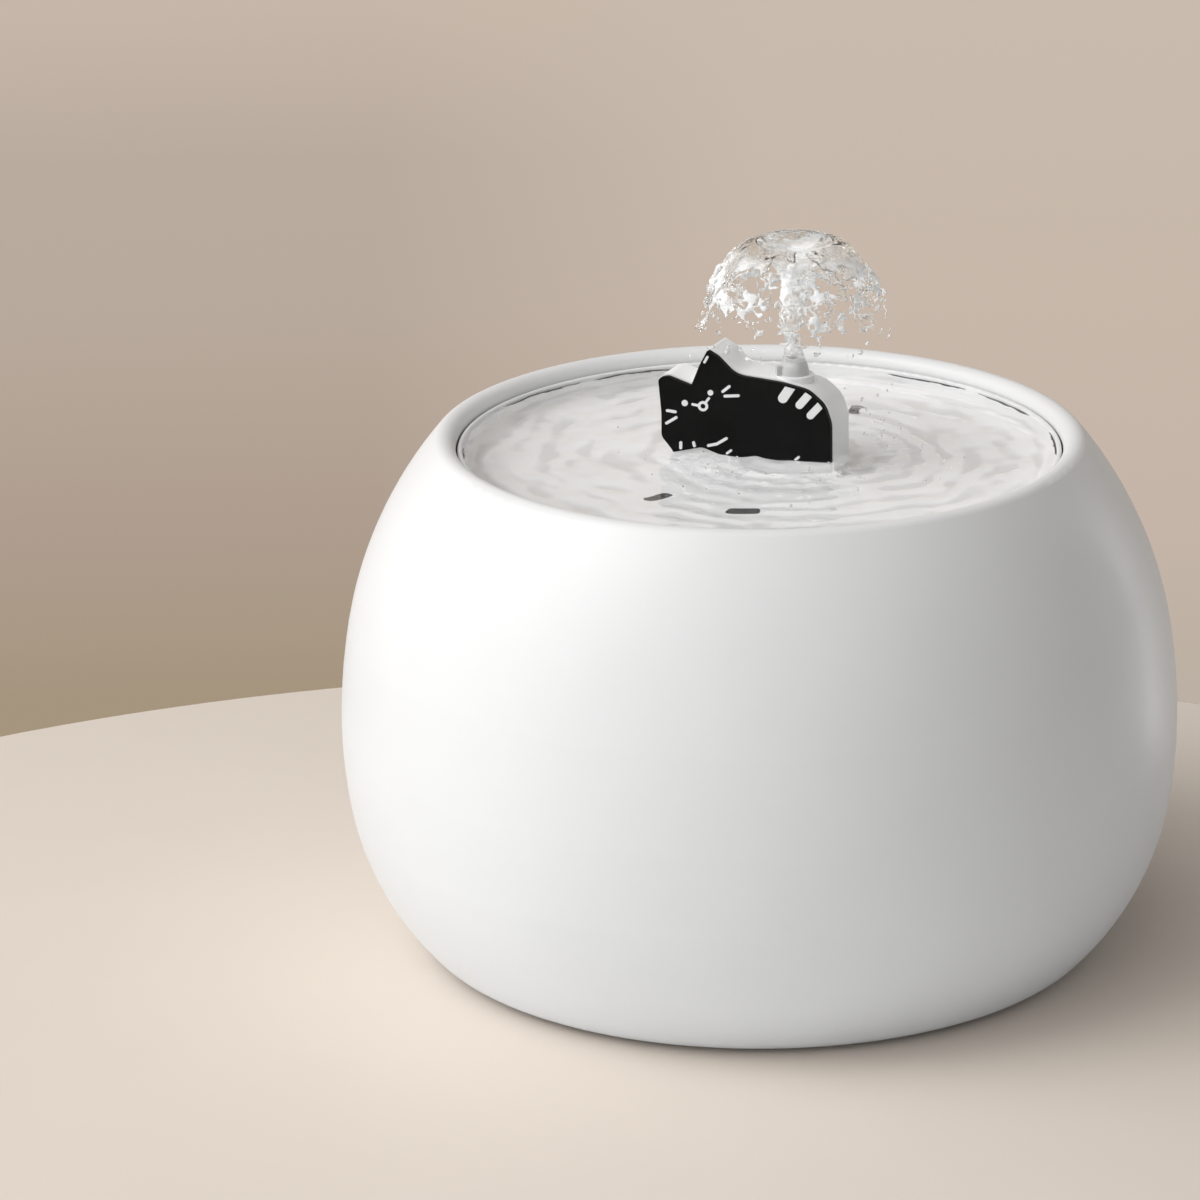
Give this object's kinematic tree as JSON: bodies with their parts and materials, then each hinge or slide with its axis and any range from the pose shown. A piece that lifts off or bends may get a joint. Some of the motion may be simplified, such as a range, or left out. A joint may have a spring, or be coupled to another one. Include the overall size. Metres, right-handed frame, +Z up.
{
  "type": "pet water fountain",
  "caption": "Round pet drinking fountain: bowl with pump and filter under a lift-out tray, cat-shaped island and nozzle that throws a bell of water.",
  "frame": {"origin": "on the table, under the middle of the bowl", "axes": "+Z up, -Y towards the side that the cat on the island faces, +Y towards the power inlet"},
  "size_m": [0.2, 0.2, 0.1734],
  "materials": {
    "glaze_white": "satin glaze",
    "rubber_grey": "matt",
    "rubber_black": "matt",
    "silicone_grey": "satin",
    "silicone_clear": "satin, milky",
    "plastic_black": "fine texture",
    "contact_metal": "polished",
    "lead_black": "satin",
    "pump_plastic": "fine texture",
    "potting_resin": "cast resin",
    "laminated_steel": "laminated",
    "copper_winding": "enamelled copper",
    "board_green": "solder mask",
    "shaft_steel": "ground",
    "sponge_black": "open foam",
    "magnet_dark": "ferrite",
    "impeller_plastic": "moulded",
    "tray_white": "smooth",
    "water": "clear water",
    "filter_plastic": "moulded",
    "lid_dark": "moulded",
    "filter_felt": "needled felt",
    "filter_carbon": "granules",
    "island_white": "satin",
    "plate_black": "satin",
    "marks_white": "print",
    "nozzle_grey": "satin"
  },
  "bodies": {
    "base": {"bowl": "glaze_white", "foot_pads": "rubber_grey", "power_inlet": "plastic_black", "inlet_contact": "contact_metal", "inlet_gasket": "silicone_grey", "inlet_nut": "plastic_black", "pump_lead": "lead_black", "lead_grommet": "rubber_black", "pump_case": "pump_plastic", "pump_potting": "potting_resin", "stator_core": "laminated_steel", "stator_coil": "copper_winding", "driver_board": "board_green", "volute_cover": "pump_plastic", "shaft_bushings": "rubber_black", "impeller_shaft": "shaft_steel", "suction_cups": "silicone_clear", "riser_tube": "silicone_clear"},
    "pump_cover": {"pump_cover": "pump_plastic", "pump_sponge": "sponge_black"},
    "flow_dial": {"flow_dial": "pump_plastic"},
    "rotor": {"rotor_magnet": "magnet_dark", "impeller": "impeller_plastic"},
    "tray": {"tray": "tray_white", "tray_seal": "silicone_grey", "water_pool": "water"},
    "filter": {"filter_basket": "filter_plastic", "filter_cotton": "filter_felt", "filter_carbon": "filter_carbon", "filter_lid": "lid_dark"},
    "island": {"island_shell": "island_white", "face_plate": "plate_black", "face_marks": "marks_white"},
    "nozzle": {"nozzle": "nozzle_grey", "water_jet": "water"}
  },
  "joints": [
    {"name": "tray_lift", "type": "slide", "parent": "base", "child": "tray", "axis": [0, 0, 1], "range_m": [0, 0.065]},
    {"name": "island_lift", "type": "slide", "parent": "tray", "child": "island", "axis": [0, 0, 1], "range_m": [0, 0.045]},
    {"name": "nozzle_pull", "type": "slide", "parent": "island", "child": "nozzle", "axis": [0, 0, 1], "range_m": [0, 0.038]},
    {"name": "filter_drop", "type": "slide", "parent": "tray", "child": "filter", "axis": [0, 0, -1], "range_m": [0, 0.02]},
    {"name": "pump_cover_slide", "type": "slide", "parent": "base", "child": "pump_cover", "axis": [0, -1, 0], "range_m": [0, 0.014]},
    {"name": "flow_dial_turn", "type": "hinge", "parent": "pump_cover", "child": "flow_dial", "pos_m": [0.012, -0.016, 0.0166], "axis": [0, 1, 0], "range_deg": [0, 90]},
    {"name": "impeller_spin", "type": "hinge", "parent": "base", "child": "rotor", "pos_m": [0, 0, 0.0282], "axis": [0, 1, 0], "continuous": true}
  ]
}
